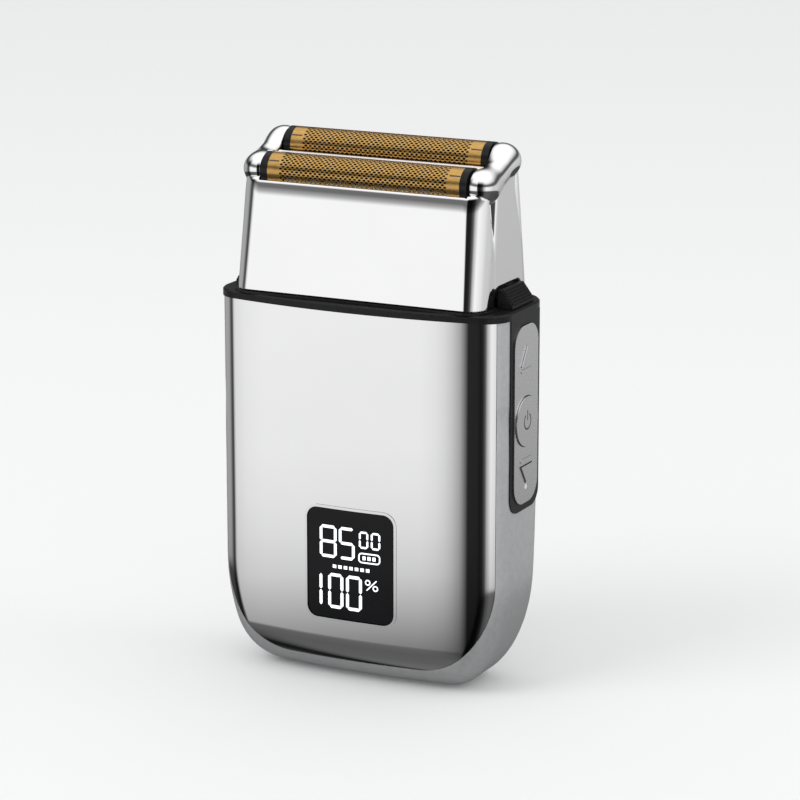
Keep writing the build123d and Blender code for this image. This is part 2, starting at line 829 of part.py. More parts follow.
# ---------------------------------------------------------------- button side
with BuildPart() as button_panel:
    add(side_slot(panel_middle, panel_height, panel_width, panel_corner, panel_back, panel_face))
    for name in key_heights:
        add(key_form(name, key_gap, panel_back - 1, panel_face + 1), mode=Mode.SUBTRACT)
    with BuildSketch(Plane.YZ.offset(panel_face)):
        with Locations((0, indicator_z)):
            Circle(indicator_diameter / 2 + fit / 2)
    extrude(amount=-panel_thickness, mode=Mode.SUBTRACT)
    mark_offset = speed_key_height / 2 + speed_mark_gap
    with BuildSketch(Plane.YZ.offset(panel_face)):
        with Locations((0, speed_up_z - mark_offset), (0, speed_down_z + mark_offset)):
            RectangleRounded(speed_key_width, speed_mark_height, speed_mark_height / 2 - hair)
    extrude(amount=speed_mark_proud)
keep(button_panel, "button_panel")

for name, height_at in key_heights.items():
    with BuildPart() as key:
        add(key_form(name, 0, key_inner, panel_face + key_proud))
        with BuildSketch(Plane.YZ.offset(key_inner)):
            with Locations((0, height_at)):
                Circle(stem_diameter / 2 if name == "power" else speed_stem_diameter / 2)
        extrude(amount=-key_stem)
    keep(key, name + "_button")

with BuildPart() as indicator_lens:
    with BuildSketch(Plane.YZ.offset(panel_back)):
        with Locations((0, indicator_z)):
            Circle(indicator_diameter / 2)
    extrude(amount=panel_thickness)
keep(indicator_lens, "indicator_lens")

with BuildPart() as key_board:
    with BuildSketch(Plane.YZ.offset(key_board_face)):
        with Locations((0, panel_middle)):
            RectangleRounded(panel_width - 1, panel_height - 2 * key_board_margin, 1)
    extrude(amount=-board_thickness)
keep(key_board, "key_board")

with BuildPart() as key_switches:
    for height_at in key_heights.values():
        with BuildSketch(Plane.YZ.offset(key_board_face)):
            with Locations((0, height_at)):
                Rectangle(switch_width, switch_height)
        extrude(amount=switch_face - key_board_face - switch_dome)
        with BuildSketch(Plane.YZ.offset(switch_face - switch_dome)):
            with Locations((0, height_at)):
                Circle(switch_dome_radius)
        extrude(amount=switch_dome)
keep(key_switches, "key_switches")

# ---------------------------------------------------------------- charging socket
with BuildPart() as charge_socket:
    with BuildSketch(Plane.XY.offset(socket_recess)):
        RectangleRounded(socket_width, socket_height, socket_height / 2 - hair)
        RectangleRounded(
            socket_width - 2 * socket_wall, socket_height - 2 * socket_wall,
            socket_height / 2 - socket_wall - hair, mode=Mode.SUBTRACT,
        )
    extrude(amount=socket_depth)
    with BuildSketch(Plane.XY.offset(socket_recess + socket_depth)):
        RectangleRounded(socket_width, socket_height, socket_height / 2 - hair)
    extrude(amount=-socket_back)
keep(charge_socket, "charge_socket")

with BuildPart() as charge_tongue:
    with BuildSketch(Plane.XY.offset(socket_recess + socket_tongue_inset)):
        Rectangle(socket_tongue_width, socket_tongue_thickness)
    extrude(amount=socket_depth - socket_back - socket_tongue_inset)
keep(charge_tongue, "charge_tongue")

with BuildPart() as charge_board:
    with BuildSketch(Plane.XY.offset(socket_recess + socket_depth)):
        RectangleRounded(charge_board_width, charge_board_depth, 1)
    extrude(amount=board_thickness)
keep(charge_board, "charge_board")

# ---------------------------------------------------------------- release buttons
for side, label in ((1, "right"), (-1, "left")):
    with BuildPart() as release:
        with BuildSketch(Plane.XZ.offset(-notch_y)):
            with BuildLine():
                Polyline(
                    (side * release_inner, release_foot),
                    (side * release_reach, release_foot),
                    (side * release_reach, release_foot + release_lip),
                    (side * (release_inner + release_crest), release_top),
                    (side * release_inner, release_top),
                    close=True,
                )
            make_face()
        extrude(amount=release_width / 2, both=True)
        with BuildSketch(Plane.XY.offset(release_foot)):
            with Locations((side * (release_inner + release_stem_depth / 2), notch_y)):
                Rectangle(release_stem_depth, release_stem_width)
        extrude(amount=well_floor + 3 * release_lift - release_foot)
    keep(release, "release_button_" + label)
    with BuildPart() as release_spring:
        spring_plane = Plane(
            origin=(0, notch_y, (well_floor + shell_top) / 2), x_dir=(0, 1, 0), z_dir=(side, 0, 0)
        )
        length = release_inner - well_half_width - 2 * spring_gap
        foot = well_half_width + spring_gap
        add(coil(*release_coil, foot, length, spring_plane))
    keep(release_spring, "release_spring_" + label)


# ---------------------------------------------------------------- head frame
def head_block(inset, foot, plate):
    """The head's tapered form: upright rounded foot, canted rounded top."""
    with BuildPart(mode=Mode.PRIVATE) as block:
        with BuildSketch(Plane.XY.offset(foot)) as low:
            RectangleRounded(head_width - 2 * inset, head_depth - 2 * inset, head_corner - inset)
        with BuildSketch(foil_plane.offset(-plate)) as high:
            RectangleRounded(
                head_top_width - 2 * inset, head_top_depth - 2 * inset, head_top_corner - inset
            )
        loft([low.sketch.face(), high.sketch.face()])
    return block.part


def canted(x, along, up):
    """A point given on the canted foil plane: across, along the slope, and above it."""
    return foil_plane.from_local_coords(Vector(x, along, up))


with BuildPart() as head_frame:
    add(head_block(0, head_base, 0))
    for side in sides:
        middle = canted(side * lobe_x, 0, 0)
        for way in sides:
            with Locations(canted(side * lobe_x, way * foil_pitch / 2, 0)):
                Sphere(lobe_radius)
        with BuildSketch(Plane(origin=middle, x_dir=(1, 0, 0), z_dir=foil_plane.y_dir)):
            Circle(saddle_radius)
        extrude(amount=foil_pitch / 2, both=True)
    with BuildSketch(foil_plane):
        Rectangle(2 * opening_half_length, head_depth)
    extrude(amount=2 * lobe_radius, mode=Mode.SUBTRACT)
    add(head_block(head_wall, head_base, head_plate), mode=Mode.SUBTRACT)
    with BuildSketch(Plane.XY.offset(head_axis_z - 2 * lobe_radius)):
        for way in sides:
            with Locations((0, way * foil_y - (foil_radius - foil_half) / 2)):
                Rectangle(2 * opening_half_length, foil_radius + foil_half + 2 * foil_gap)
    extrude(amount=4 * lobe_radius, mode=Mode.SUBTRACT)
    with BuildSketch(Plane.YZ):
        with Locations((notch_y, seat_top)):
            RectangleRounded(notch_width, 2 * notch_height, notch_corner)
    extrude(amount=head_width, both=True, mode=Mode.SUBTRACT)
keep(head_frame, "head_frame")

with BuildPart() as divider_bar:
    with BuildSketch(foil_plane):
        Rectangle(2 * opening_half_length, divider_width)
    extrude(amount=divider_height)
    crest = divider_bar.faces().filter_by(foil_plane).sort_by(Axis.Z)[-1]
    fillet(crest.edges().filter_by(Axis.X), divider_edge)
keep(divider_bar, "divider_bar")

with BuildPart() as head_chassis:
    with BuildSketch(Plane.XY.offset(head_base)):
        RectangleRounded(head_width, head_depth, head_corner)
        RectangleRounded(
            head_width - 2 * (head_wall + ring_wall), head_depth - 2 * (head_wall + ring_wall), ring_corner,
            mode=Mode.SUBTRACT,
        )
    extrude(amount=ring_height)
    for side in sides:
        crossbar_foot = head_base + ring_height / 2
        with BuildSketch(Plane.XY.offset(crossbar_foot)):
            with Locations((side * (crossbar_x + crossbar_width / 2), 0)):
                Rectangle(crossbar_width, head_depth)
        extrude(amount=bridge_top - crossbar_foot)
        with BuildSketch(Plane.XY.offset(head_base)):
            with Locations((side * head_width / 2, notch_y)):
                Rectangle(head_width - 2 * (release_inner - release_travel - release_gap), notch_width)
        extrude(amount=ring_height, mode=Mode.SUBTRACT)
    add(head_block(head_wall + fit, head_base, head_plate), mode=Mode.INTERSECT)
    with BuildSketch(Plane.YZ):
        with Locations((-rod_y, rod_z), (rod_y, rod_z)):
            Circle(rod_diameter / 2)
    extrude(amount=rod_half_length, both=True, mode=Mode.SUBTRACT)
keep(head_chassis, "head_chassis")

with BuildPart() as guide_rods:
    with BuildSketch(Plane.YZ):
        with Locations((-rod_y, rod_z), (rod_y, rod_z)):
            Circle(rod_diameter / 2)
    extrude(amount=rod_half_length, both=True)
keep(guide_rods, "guide_rods")


# ---------------------------------------------------------------- drive bridge
def foil_axis(way):
    """Y and Z of one foil's axis."""
    return way * foil_y, head_axis_z + way * foil_rise


def carrier_foot(way):
    """Underside of one cutter carrier's bar."""
    return foil_axis(way)[1] - carrier_drop - carrier_height


fork_reach = pin_diameter / 2 + eccentric_throw + fork_gap
with BuildPart() as drive_bridge:
    with BuildSketch(Plane.XY.offset(bridge_bottom)):
        RectangleRounded(2 * bridge_half_width, 2 * bridge_half_depth, bridge_corner)
        Rectangle(2 * (bridge_half_width - bridge_slot_inset), bridge_slot_width, mode=Mode.SUBTRACT)
    extrude(amount=bridge_thickness)
    with BuildSketch(Plane.XY.offset(fork_bottom)):
        with Locations((0, motor_y)):
            Rectangle(2 * (fork_reach + bridge_stroke + fork_wall), 2 * (fork_reach + fork_wall))
    extrude(amount=bridge_bottom - fork_bottom)
    with BuildSketch(Plane.XY.offset(fork_bottom)):
        with Locations((0, motor_y)):
            Rectangle(2 * (fork_reach + bridge_stroke), 2 * fork_reach)
    extrude(amount=pin_top - fork_bottom + fork_headroom, mode=Mode.SUBTRACT)
    with BuildSketch(Plane.YZ):
        with Locations((-rod_y, rod_z), (rod_y, rod_z)):
            Circle(rod_diameter / 2 + rod_fit)
    extrude(amount=bridge_half_width + 1, both=True, mode=Mode.SUBTRACT)
    for way in sides:
        post_top = carrier_foot(way) + carrier_height - carrier_roof - foil_float - post_headroom
        with BuildSketch(Plane.XY.offset(bridge_top - post_root)):
            with Locations((0, foil_axis(way)[0])):
                Circle(post_diameter / 2)
        extrude(amount=post_top - bridge_top + post_root)
keep(drive_bridge, "drive_bridge")

with BuildPart() as bridge_springs:
    for side in sides:
        spring_plane = Plane(origin=(0, 0, rod_z), x_dir=(0, 1, 0), z_dir=(side, 0, 0))
        length = crossbar_x - bridge_half_width - 2 * spring_gap
        add(coil(*bridge_coil, bridge_half_width + spring_gap, length, spring_plane))
keep(bridge_springs, "bridge_springs")


# ---------------------------------------------------------------- foils and cutters
def foil_outline(way, radius, drop):
    """Section of a foil or cap: canted half circle over two upright legs."""
    y, z = foil_axis(way)
    across = radius * cos(radians(head_cant))
    lift = radius * sin(radians(head_cant))
    with BuildSketch(Plane.YZ) as outline:
        with BuildLine():
            CenterArc((y, z), radius, head_cant, 180)
            Polyline(
                (y - across, z - lift), (y - across, z - drop),
                (y + across, z - drop), (y + across, z + lift),
            )
        make_face()
    return outline.sketch.face()


inner_radius = foil_radius - foil_thickness
inner_half = inner_radius * cos(radians(head_cant))
blade_radius = inner_radius - blade_gap
spine_length = (blade_count - 1) * blade_pitch + blade_thickness

for name, way in foils.items():
    axis_y, axis_z = foil_axis(way)
    with BuildPart() as foil:
        extrude(foil_outline(way, foil_radius, foil_drop), amount=foil_length / 2, both=True)
        hollow = foil_outline(way, inner_radius, foil_drop + foil_thickness)
        extrude(hollow, amount=foil_length, both=True, mode=Mode.SUBTRACT)
    keep(foil, name + "_foil")

    with BuildPart() as foil_frame:
        for side in sides:
            with BuildPart(mode=Mode.PRIVATE) as cap:
                extrude(foil_outline(way, foil_radius, cap_drop), amount=side * foil_cap)
            add(cap.part.moved(Location((side * foil_length / 2, 0, 0))))
            with BuildSketch(Plane.XY.offset(axis_z - foil_drop)):
                with Locations((0, axis_y + side * (inner_half - rail_width / 2))):
                    Rectangle(foil_length, rail_width)
            extrude(amount=rail_height)
    keep(foil_frame, name + "_foil_frame")

    with BuildPart() as blades:
        for index in range(blade_count):
            with BuildSketch(Plane.YZ.offset(index * blade_pitch - spine_length / 2)):
                with BuildLine():
                    edge = CenterArc((axis_y, axis_z), blade_radius, head_cant, 180)
                    Line(edge @ 0, edge @ 1)
                make_face()
            extrude(amount=blade_thickness)
        with BuildSketch(Plane.XY.offset(axis_z - carrier_drop)):
            with Locations((0, axis_y)):
                Rectangle(spine_length, spine_width)
        extrude(amount=carrier_drop + spine_rise)
    keep(blades, name + "_cutter_blades")

    with BuildPart() as carrier:
        with BuildSketch(Plane.XY.offset(carrier_foot(way))):
            with Locations((0, axis_y)):
                RectangleRounded(spine_length, carrier_width, carrier_corner)
        extrude(amount=carrier_height)
        with BuildSketch(Plane.XY.offset(carrier_foot(way))):
            with Locations((0, axis_y)):
                Circle(socket_diameter / 2)
        extrude(amount=-carrier_sleeve)
        with BuildSketch(Plane.XY.offset(carrier_foot(way) + carrier_height - carrier_roof)):
            with Locations((0, axis_y)):
                Circle(post_diameter / 2 + post_fit)
        extrude(amount=-2 * socket_length, mode=Mode.SUBTRACT)
    keep(carrier, name + "_cutter_carrier")

    with BuildPart() as cutter_spring:
        spring_plane = Plane(origin=(0, axis_y, 0))
        length = carrier_foot(way) - carrier_sleeve - bridge_top - 2 * spring_gap
        add(coil(*cutter_coil, bridge_top + spring_gap, length, spring_plane))
    keep(cutter_spring, name + "_cutter_spring")

    with BuildPart() as foil_springs:
        for side in sides:
            spring_plane = Plane(origin=(side * (foil_length + foil_cap) / 2, axis_y, 0))
            length = axis_z - cap_drop - bridge_top - 2 * spring_gap
            add(coil(*foil_coil, bridge_top + spring_gap, length, spring_plane))
    keep(foil_springs, name + "_foil_springs")
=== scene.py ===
import json
import math

import bmesh
import bpy
import numpy as np
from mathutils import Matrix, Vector


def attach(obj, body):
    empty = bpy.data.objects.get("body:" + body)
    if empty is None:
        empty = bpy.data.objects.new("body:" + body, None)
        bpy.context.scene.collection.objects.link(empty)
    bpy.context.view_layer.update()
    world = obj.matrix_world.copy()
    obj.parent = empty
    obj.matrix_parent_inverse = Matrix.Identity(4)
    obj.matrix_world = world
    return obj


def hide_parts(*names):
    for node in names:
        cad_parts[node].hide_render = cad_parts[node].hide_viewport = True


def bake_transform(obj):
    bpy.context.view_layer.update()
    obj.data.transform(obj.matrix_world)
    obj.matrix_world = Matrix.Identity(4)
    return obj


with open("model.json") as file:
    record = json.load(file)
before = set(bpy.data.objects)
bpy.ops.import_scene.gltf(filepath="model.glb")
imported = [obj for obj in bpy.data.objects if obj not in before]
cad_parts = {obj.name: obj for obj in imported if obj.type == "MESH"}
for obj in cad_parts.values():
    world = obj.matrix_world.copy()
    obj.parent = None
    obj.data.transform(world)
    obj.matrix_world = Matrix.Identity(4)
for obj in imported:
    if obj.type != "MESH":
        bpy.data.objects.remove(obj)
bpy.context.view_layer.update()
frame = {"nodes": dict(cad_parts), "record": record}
NODES = frame["nodes"]
MM = 0.001

# ---------------------------------------------------------------- body form, in millimetres
HALF_WIDTH = 31.75
HALF_DEPTH = 14.45
BOW = 150.0
FRONT_CORNER = 5.5
REAR_CORNER = 7.0
CORNER_SWEEP = (13.2, 23.0)
TOE = (9.35, 9.0)
HEEL = (9.35, 60.0)
SEAM_HALF = 30.4
SEAM_FOOT = 4.4
SEAM_CORNER = (16.0, 19.0)
SHELL_TOP = 77.2
CANT = math.radians(20.4)
PLANE_Z = 104.85
FOIL_PITCH = 10.62
FOIL_RADIUS = 3.64
FOIL_HALF = 21.27
FOIL_DROP = 3.4


def mesh_object(name, verts, faces, material, body, smooth=True):
    """A new piece, given in millimetres, that rides on a body."""
    mesh = bpy.data.meshes.new(name)
    mesh.from_pydata([tuple(MM * c for c in v) for v in verts], [], faces)
    mesh.validate()
    bm = bmesh.new()
    bm.from_mesh(mesh)
    bmesh.ops.recalc_face_normals(bm, faces=bm.faces)
    bm.to_mesh(mesh)
    bm.free()
    for polygon in mesh.polygons:
        polygon.use_smooth = smooth
    mesh.materials.append(material)
    obj = bpy.data.objects.new(name, mesh)
    bpy.context.scene.collection.objects.link(obj)
    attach(obj, body)
    return obj


def modifier(obj, kind, **settings):
    made = obj.modifiers.new(kind.title(), kind)
    for key, value in settings.items():
        setattr(made, key, value)
    return made


# ---------------------------------------------------------------- materials
def principled(name, colour, metallic=0.0, roughness=0.4, ior=1.5, coat=0.0, coat_roughness=0.03):
    material = bpy.data.materials.new(name)
    material.use_nodes = True
    shader = material.node_tree.nodes["Principled BSDF"]
    shader.inputs["Base Color"].default_value = (*colour, 1.0)
    shader.inputs["Metallic"].default_value = metallic
    shader.inputs["Roughness"].default_value = roughness
    shader.inputs["IOR"].default_value = ior
    shader.inputs["Coat Weight"].default_value = coat
    shader.inputs["Coat Roughness"].default_value = coat_roughness
    return material, shader


def add_noise(material, scale, stretch=(1, 1, 1), detail=3.0):
    nodes = material.node_tree.nodes
    links = material.node_tree.links
    where = nodes.new("ShaderNodeTexCoord")
    spread = nodes.new("ShaderNodeMapping")
    spread.inputs["Scale"].default_value = stretch
    noise = nodes.new("ShaderNodeTexNoise")
    noise.inputs["Scale"].default_value = scale
    noise.inputs["Detail"].default_value = detail
    links.new(where.outputs["Object"], spread.inputs["Vector"])
    links.new(spread.outputs["Vector"], noise.inputs["Vector"])
    return noise.outputs["Fac"]


def vary_roughness(material, shader, fac, low, high):
    nodes = material.node_tree.nodes
    links = material.node_tree.links
    span = nodes.new("ShaderNodeMapRange")
    span.inputs["To Min"].default_value = low
    span.inputs["To Max"].default_value = high
    links.new(fac, span.inputs["Value"])
    links.new(span.outputs["Result"], shader.inputs["Roughness"])


def vary_colour(material, shader, fac, dark, light):
    nodes = material.node_tree.nodes
    links = material.node_tree.links
    ramp = nodes.new("ShaderNodeValToRGB")
    ramp.color_ramp.elements[0].position = 0.3
    ramp.color_ramp.elements[0].color = (*dark, 1.0)
    ramp.color_ramp.elements[1].position = 0.7
    ramp.color_ramp.elements[1].color = (*light, 1.0)
    links.new(fac, ramp.inputs["Fac"])
    links.new(ramp.outputs["Color"], shader.inputs["Base Color"])


def bump(material, shader, fac, strength, distance):
    nodes = material.node_tree.nodes
    links = material.node_tree.links
    height = nodes.new("ShaderNodeBump")
    height.inputs["Strength"].default_value = strength
    height.inputs["Distance"].default_value = distance
    links.new(fac, height.inputs["Height"])
    links.new(height.outputs["Normal"], shader.inputs["Normal"])


def finish_of(name, colour, light=None, metallic=0.0, rough=(0.3, 0.4), scale=400.0, stretch=(1, 1, 1),
              bumps=0.0, depth=0.00005, **more):
    material, shader = principled(name, colour, metallic, rough[0], **more)
    fac = add_noise(material, scale, stretch)
    vary_roughness(material, shader, fac, *rough)
    vary_colour(material, shader, fac, colour, light or tuple(min(1.0, 1.08 * c) for c in colour))
    if bumps:
        bump(material, shader, fac, bumps, depth)
    return material


CHROME = finish_of("polished_chrome", (0.95, 0.95, 0.955), (0.97, 0.97, 0.975), 1.0, (0.012, 0.03), 60.0)
BAND = finish_of("satin_band", (0.54, 0.545, 0.55), (0.60, 0.605, 0.61), 0.62, (0.26, 0.34), 900.0, bumps=0.04)
TRIM = finish_of("bright_trim", (0.90, 0.90, 0.91), (0.95, 0.95, 0.96), 1.0, (0.04, 0.08), 200.0)
PLATE = finish_of("satin_plate", (0.72, 0.72, 0.73), (0.80, 0.80, 0.81), 1.0, (0.24, 0.32), 1500.0, (1, 1, 12), 0.03)
BLACK = finish_of("satin_black", (0.008, 0.008, 0.009), (0.014, 0.014, 0.015), 0.0, (0.26, 0.36), 1800.0, bumps=0.06, ior=1.28)
CAP = finish_of("cap_black", (0.008, 0.008, 0.009), (0.012, 0.012, 0.013), 0.0, (0.20, 0.28), 1500.0, bumps=0.04, ior=1.28)
WINDOW = finish_of("display_glass", (0.002, 0.002, 0.0025), (0.004, 0.004, 0.005), 0.0, (0.02, 0.04), 80.0, ior=1.3)
GOLD = finish_of("gold_foil", (0.50, 0.29, 0.085), (0.68, 0.42, 0.14), 1.0, (0.18, 0.30), 700.0, (1, 6, 6), 0.05)
# This dark steel colour is also the painted dark reflection on the foils' bends and the painted shade of the power
# symbol.
DARK_STEEL_AND_SHADE = finish_of("ground_steel_and_painted_shade", (0.06, 0.06, 0.062), (0.11, 0.11, 0.115), 1.0, (0.25, 0.4), 1200.0, (10, 1, 1), 0.05)
BRIGHT_STEEL = finish_of("plated_steel", (0.60, 0.60, 0.61), (0.70, 0.70, 0.71), 1.0, (0.2, 0.3), 900.0)
# This dark plastic colour is also the painted shade on the inside of the head's hollow.
DARK_PLASTIC_AND_SHADE = finish_of("inner_black_and_painted_shade", (0.012, 0.012, 0.013), (0.022, 0.022, 0.024), 0.0, (0.4, 0.55), 1200.0, bumps=0.1)
PALE_PLASTIC = finish_of("acetal", (0.62, 0.62, 0.60), (0.74, 0.74, 0.71), 0.0, (0.35, 0.5), 900.0, bumps=0.05)
BOARD = finish_of("solder_mask", (0.006, 0.05, 0.022), (0.01, 0.09, 0.04), 0.0, (0.25, 0.4), 1200.0)
SLEEVE = finish_of("battery_sleeve", (0.02, 0.07, 0.20), (0.03, 0.10, 0.28), 0.0, (0.25, 0.4), 500.0)
COPPER = finish_of("copper_bronze", (0.62, 0.32, 0.17), (0.78, 0.44, 0.25), 1.0, (0.25, 0.4), 900.0)
MAGNET = finish_of("sintered_magnet", (0.07, 0.07, 0.075), (0.12, 0.12, 0.13), 1.0, (0.4, 0.6), 1500.0, bumps=0.1)
RUBBER = finish_of("seal_rubber", (0.012, 0.012, 0.012), (0.02, 0.02, 0.02), 0.0, (0.6, 0.75), 1200.0, bumps=0.1)
LENS = finish_of("indicator_lens", (0.55, 0.56, 0.58), (0.70, 0.71, 0.73), 0.0, (0.1, 0.16), 900.0)
GLOW, glow_shader = principled("display_light", (0.8, 0.82, 0.85), roughness=0.5)
glow_shader.inputs["Emission Color"].default_value = (0.90, 0.94, 1.0, 1.0)
glow_shader.inputs["Emission Strength"].default_value = 0.85
vary_colour(GLOW, glow_shader, add_noise(GLOW, 900.0), (0.75, 0.77, 0.80), (0.85, 0.87, 0.90))

BY_SLOT = {
    "chrome": CHROME, "satin_band": BAND, "black_satin": BLACK, "black_cap": CAP, "bright_trim": TRIM,
    "display_black": WINDOW, "satin_plate": PLATE, "lens": LENS, "gold_foil": GOLD, "blade_steel": DARK_STEEL_AND_SHADE,
    "drive_plastic": PALE_PLASTIC, "frame_plastic": DARK_PLASTIC_AND_SHADE, "board": BOARD, "chips": DARK_PLASTIC_AND_SHADE,
    "battery_wrap": SLEEVE, "motor_steel": BRIGHT_STEEL, "magnet": MAGNET, "copper_bronze": COPPER,
    "seal_rubber": RUBBER, "spring_steel": BRIGHT_STEEL,
}
for entry in frame["record"]["subparts"]:
    node = NODES[entry["node"]]
    node.data.materials.clear()
    node.data.materials.append(BY_SLOT[entry["material_slot"]])


# ---------------------------------------------------------------- body surface
def quarter_step(sweep, level):
    rise = max(sweep[1] - level, 0) / sweep[1]
    return sweep[0] * (1 - math.sqrt(1 - rise**2))


def section(level, way):
    """Half width, face distance, corner radius, corner centre and the bow's end at one level."""
    half = HALF_WIDTH - quarter_step(CORNER_SWEEP, level)
    face = HALF_DEPTH - quarter_step(TOE if way < 0 else HEEL, level)
    radius = (FRONT_CORNER if way < 0 else REAR_CORNER) * face / HALF_DEPTH
    centre = face - BOW + math.sqrt((BOW - radius) ** 2 - (half - radius) ** 2)
    touch = BOW * (half - radius) / (BOW - radius)
    return half, face, radius, centre, touch


def face_y(x, level, way, inset=0.0):
    """Y of the body's front or rear face."""
    half, face, radius, centre, touch = section(level, way)
    x = abs(x)
    if x <= touch:
        return way * (face - inset - BOW + math.sqrt(BOW**2 - x**2))
    across = min(x - (half - radius), radius - 0.001)
    return way * (centre - inset + math.sqrt(radius**2 - across**2))


def seam_half(level):
    """Half width of the seam outline at one level."""
    rise = max(SEAM_FOOT + SEAM_CORNER[1] - level, 0) / SEAM_CORNER[1]
    return SEAM_HALF - SEAM_CORNER[0] * (1 - math.sqrt(max(0.0, 1 - rise**2)))


def shell_skin(name, way, node):
    """One chrome shell as a dense closed skin bounded by the seam."""
    gap = 0.06
    across, turns, rises = 90, 44, 90
    levels = [SEAM_FOOT + gap + (SEAM_CORNER[1]) * (1 - math.cos(math.pi / 2 * k / turns)) for k in range(turns)]
    start = SEAM_FOOT + gap + SEAM_CORNER[1]
    levels += [start + (SHELL_TOP - gap - start) * k / rises for k in range(rises + 1)]
    shares = [1 - (1 - k / across) ** 1.7 for k in range(across + 1)]
    shares = [-s for s in reversed(shares[1:])] + shares
    verts = []
    for level in levels:
        half = seam_half(level - gap) - gap
        verts += [(half * s, face_y(half * s, level, way), level) for s in shares]
    width = len(shares)
    faces = [
        (r * width + c, r * width + c + 1, (r + 1) * width + c + 1, (r + 1) * width + c)
        for r in range(len(levels) - 1) for c in range(width - 1)
    ]
    if way > 0:
        faces = [tuple(reversed(f)) for f in faces]
    mesh = bpy.data.meshes.new(name)
    mesh.from_pydata([tuple(MM * c for c in v) for v in verts], [], faces)
    for polygon in mesh.polygons:
        polygon.use_smooth = True
    mesh.materials.append(CHROME)
    obj = bpy.data.objects.new(name, mesh)
    bpy.context.scene.collection.objects.link(obj)
    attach(obj, "housing")
    modifier(obj, "SOLIDIFY", thickness=1.2 * MM, offset=-1.0)
    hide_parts(node)
    return obj


front_skin = shell_skin("front_shell_skin", -1, "front_shell")
rear_skin = shell_skin("rear_shell_skin", 1, "rear_shell")


def carve(obj, cutters):
    """Cut closed forms out of a piece, then drop them."""
    for cutter in cutters:
        modifier(obj, "BOOLEAN", object=cutter, operation="DIFFERENCE", solver="EXACT")
    bpy.context.view_layer.update()
    graph = bpy.context.evaluated_depsgraph_get()
    mesh = bpy.data.meshes.new_from_object(obj.evaluated_get(graph))
    obj.modifiers.clear()
    obj.data = mesh
    modifier(obj, "EDGE_SPLIT", split_angle=math.radians(35))
    for cutter in cutters:
        bpy.data.objects.remove(cutter)


def rounded(width, height, corner, steps=10):
    """Outline of a rounded rectangle about the origin."""
    points = []
    for turn, (sx, sz) in enumerate(((1, 1), (-1, 1), (-1, -1), (1, -1))):
        for k in range(steps + 1):
            angle = math.pi / 2 * (turn + k / steps)
            points.append((
                sx * (width / 2 - corner) + corner * math.cos(angle),
                sz * (height / 2 - corner) + corner * math.sin(angle),
            ))
    return points


def prisms(name, outlines, place, depth, material, body, smooth=False):
    """Thin closed pieces: each outline stands on a surface and is thickened by depth."""
    verts, faces = [], []
    for outline in outlines:
        first, count = len(verts), len(outline)
        verts += [place(a, b, 0.0) for a, b in outline] + [place(a, b, depth) for a, b in outline]
        faces.append(tuple(range(first, first + count)))
        faces.append(tuple(range(first + 2 * count - 1, first + count - 1, -1)))
        for k in range(count):
            after = (k + 1) % count
            faces.append((first + k, first + after, first + count + after, first + count + k))
    return mesh_object(name, verts, faces, material, body, smooth)


def plain_prism(name, outline, place, depth):
    """A cutter: a closed prism that belongs to no body."""
    verts = [place(a, b, 0.0) for a, b in outline] + [place(a, b, depth) for a, b in outline]
    count = len(outline)
    faces = [tuple(range(count)), tuple(range(2 * count - 1, count - 1, -1))]
    faces += [(k, (k + 1) % count, count + (k + 1) % count, count + k) for k in range(count)]
    mesh = bpy.data.meshes.new(name)
    mesh.from_pydata([tuple(MM * c for c in v) for v in verts], [], faces)
    bm = bmesh.new()
    bm.from_mesh(mesh)
    bmesh.ops.recalc_face_normals(bm, faces=bm.faces)
    bm.to_mesh(mesh)
    bm.free()
    obj = bpy.data.objects.new(name, mesh)
    bpy.context.scene.collection.objects.link(obj)
    return obj


# ---------------------------------------------------------------- display
DISPLAY_Z = 24.9
WINDOW_FACE = HALF_DEPTH - 0.12
carve(front_skin, [plain_prism(
    "display_cut", rounded(20.5, 24.1, 2.9),
    lambda a, b, d: (a, -HALF_DEPTH - 2 + d, DISPLAY_Z + b), 6.0,
)])


def on_window(x, z, out):
    """A point on the bowed display window, or a little outside it."""
    return x, -(WINDOW_FACE + out - BOW + math.sqrt(BOW**2 - x**2)), z


def bar(x0, z0, x1, z1, thick):
    """A straight stroke with pointed ends."""
    along = Vector((x1 - x0, z1 - z0)).normalized()
    side = Vector((-along.y, along.x)) * thick / 2
    tip = along * thick / 2
    a, b = Vector((x0, z0)), Vector((x1, z1))
    return [tuple(q) for q in (a, a + tip + side, b - tip + side, b, b - tip - side, a + tip - side)]


SEGMENTS = {"0": "abcdef", "1": "bc", "5": "afgcd", "8": "abcdefg"}


def digit(figure, left, right, top, foot, thick):
    """A seven-segment figure as pointed strokes."""
    half, gap = thick / 2, 0.07
    x0, x1, z1, z0 = left + half, right - half, top - half, foot + half
    middle = (z0 + z1) / 2
    ends = {
        "a": (x0 + gap, z1, x1 - gap, z1), "d": (x0 + gap, z0, x1 - gap, z0),
        "g": (x0 + gap, middle, x1 - gap, middle), "b": (x1, middle + gap, x1, z1 - gap),
        "c": (x1, z0 + gap, x1, middle - gap), "f": (x0, middle + gap, x0, z1 - gap),
        "e": (x0, z0 + gap, x0, middle - gap),
    }
    return [bar(*ends[letter], thick) for letter in SEGMENTS[figure]]


def ring(x, z, outer_x, outer_z, thick, start=0.0, turn=360.0, steps=20):
    """Short strokes round an ellipse, as quads."""
    pieces = []
    for k in range(steps):
        a, b = (math.radians(start + turn * share / steps) for share in (k, k + 1))
        corners = []
        for angle, shrink in ((a, 0), (b, 0), (b, thick), (a, thick)):
            corners.append((x + (outer_x - shrink) * math.cos(angle), z + (outer_z - shrink) * math.sin(angle)))
        pieces.append(corners)
    return pieces


